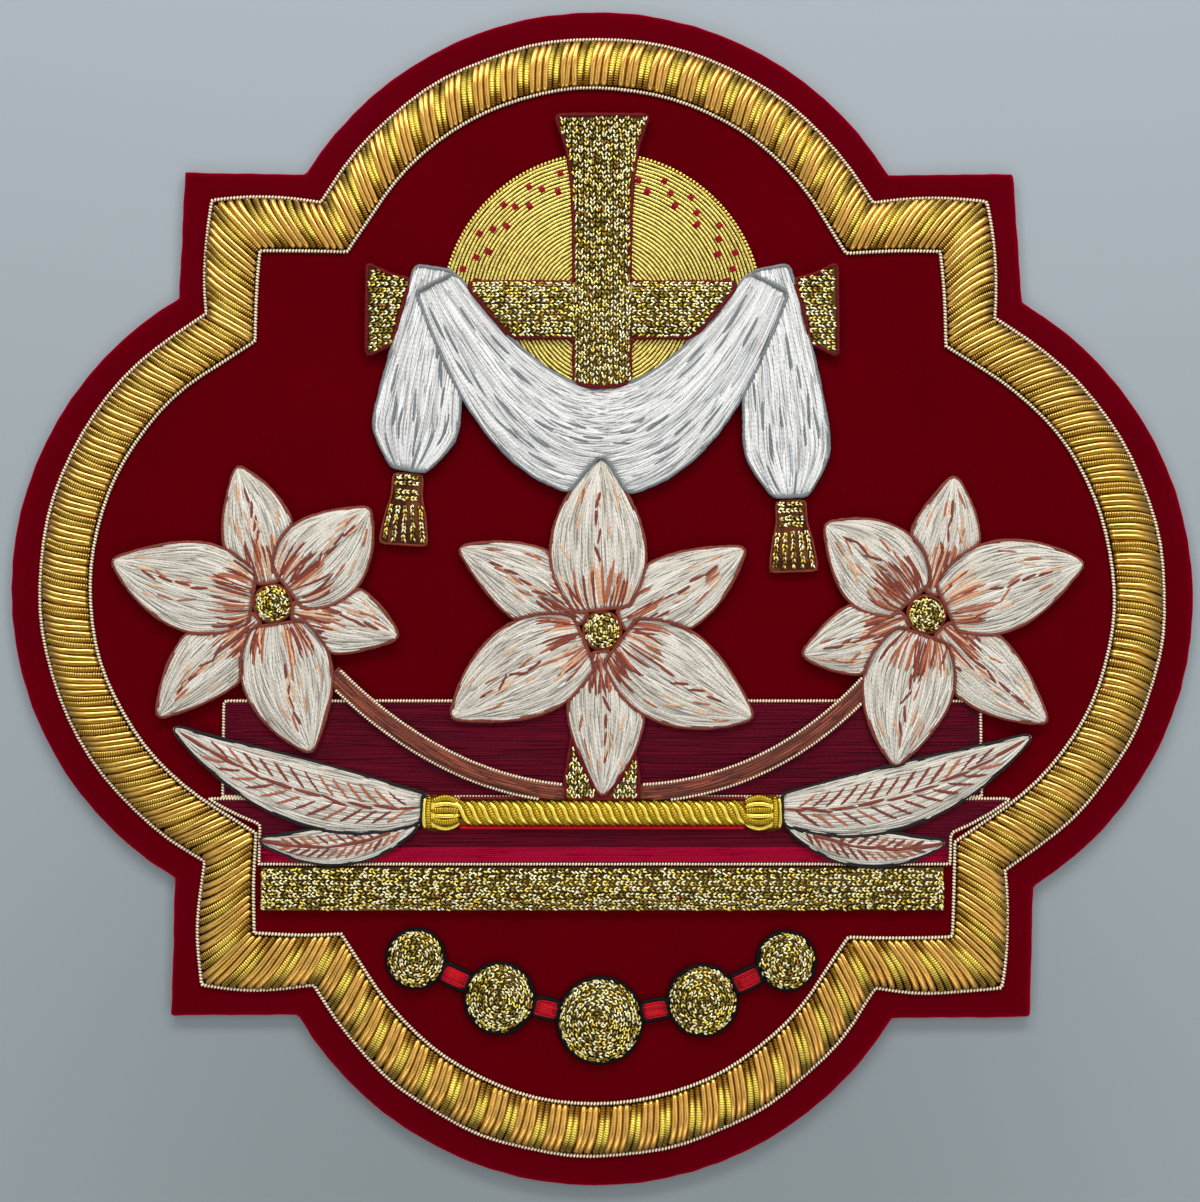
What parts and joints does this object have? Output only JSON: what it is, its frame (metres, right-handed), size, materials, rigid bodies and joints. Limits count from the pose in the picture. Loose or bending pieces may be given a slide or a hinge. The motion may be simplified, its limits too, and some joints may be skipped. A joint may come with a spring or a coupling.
{
  "type": "embroidered church banner emblem",
  "caption": "Flat red velvet quatrefoil emblem for a church banner, with a padded gold border and raised gold and silk embroidery.",
  "frame": {"origin": "under the middle of the emblem's outline, in the plane of its back", "axes": "+Z out of the embroidered face, +Y to the top of the design, +X to its right"},
  "size_m": [0.2204, 0.2192, 0.0047],
  "materials": {
    "velvet": "deep red cotton velvet, dense short pile, matt with a soft sheen, stiffened behind",
    "gold_purl": "gilt metal purl in short cut lengths, three smooth and two rough in turn, bright",
    "gold_twist": "two-ply twist of pale gilt thread, bright with dark hollows",
    "gold_couching": "smooth gilt thread couched in close rings, with dark red brick stitches",
    "gold_chain": "rows of gilt chain stitch, glittering yellow and dark olive",
    "cream_silk": "stranded thread in long and short stitch, cream shaded rust and brown",
    "white_silk": "stranded thread in long and short stitch, white shaded grey",
    "brown_silk": "stranded thread in slanted satin stitch, dark brown",
    "burgundy_silk": "laid stranded thread, dark burgundy, slightly glossy",
    "red_silk": "stranded thread in satin stitch, bright red"
  },
  "bodies": {
    "root": {"cross_1": "gold_chain", "cross_2": "gold_chain", "cross_3": "gold_chain", "cross_4": "gold_chain", "drape_swag": "white_silk", "drape_tail_left": "white_silk", "drape_tail_right": "white_silk", "gold_border": "gold_purl", "gold_braid": "gold_chain", "gold_disc": "gold_couching", "gold_rod": "gold_purl", "inner_twist": "gold_twist", "leaf_left_long": "cream_silk", "leaf_left_short": "cream_silk", "leaf_right_long": "cream_silk", "leaf_right_short": "cream_silk", "lily_left_petal_1": "cream_silk", "lily_left_petal_2": "cream_silk", "lily_left_petal_3": "cream_silk", "lily_left_petal_4": "cream_silk", "lily_left_petal_5": "cream_silk", "lily_left_petal_6": "cream_silk", "lily_left_throat": "gold_chain", "lily_middle_petal_1": "cream_silk", "lily_middle_petal_2": "cream_silk", "lily_middle_petal_3": "cream_silk", "lily_middle_petal_4": "cream_silk", "lily_middle_petal_5": "cream_silk", "lily_middle_petal_6": "cream_silk", "lily_middle_throat": "gold_chain", "lily_right_petal_1": "cream_silk", "lily_right_petal_2": "cream_silk", "lily_right_petal_3": "cream_silk", "lily_right_petal_4": "cream_silk", "lily_right_petal_5": "cream_silk", "lily_right_petal_6": "cream_silk", "lily_right_throat": "gold_chain", "outer_twist": "gold_twist", "red_bar_1": "red_silk", "red_bar_2": "red_silk", "red_bar_3": "red_silk", "red_bar_4": "red_silk", "roundel_far_left": "gold_chain", "roundel_far_right": "gold_chain", "roundel_left": "gold_chain", "roundel_middle": "gold_chain", "roundel_right": "gold_chain", "stem_left": "brown_silk", "stem_right": "brown_silk", "step_lower": "burgundy_silk", "step_upper": "burgundy_silk", "tassel_left": "gold_chain", "tassel_right": "gold_chain", "velvet_panel": "velvet"}
  },
  "joints": []
}
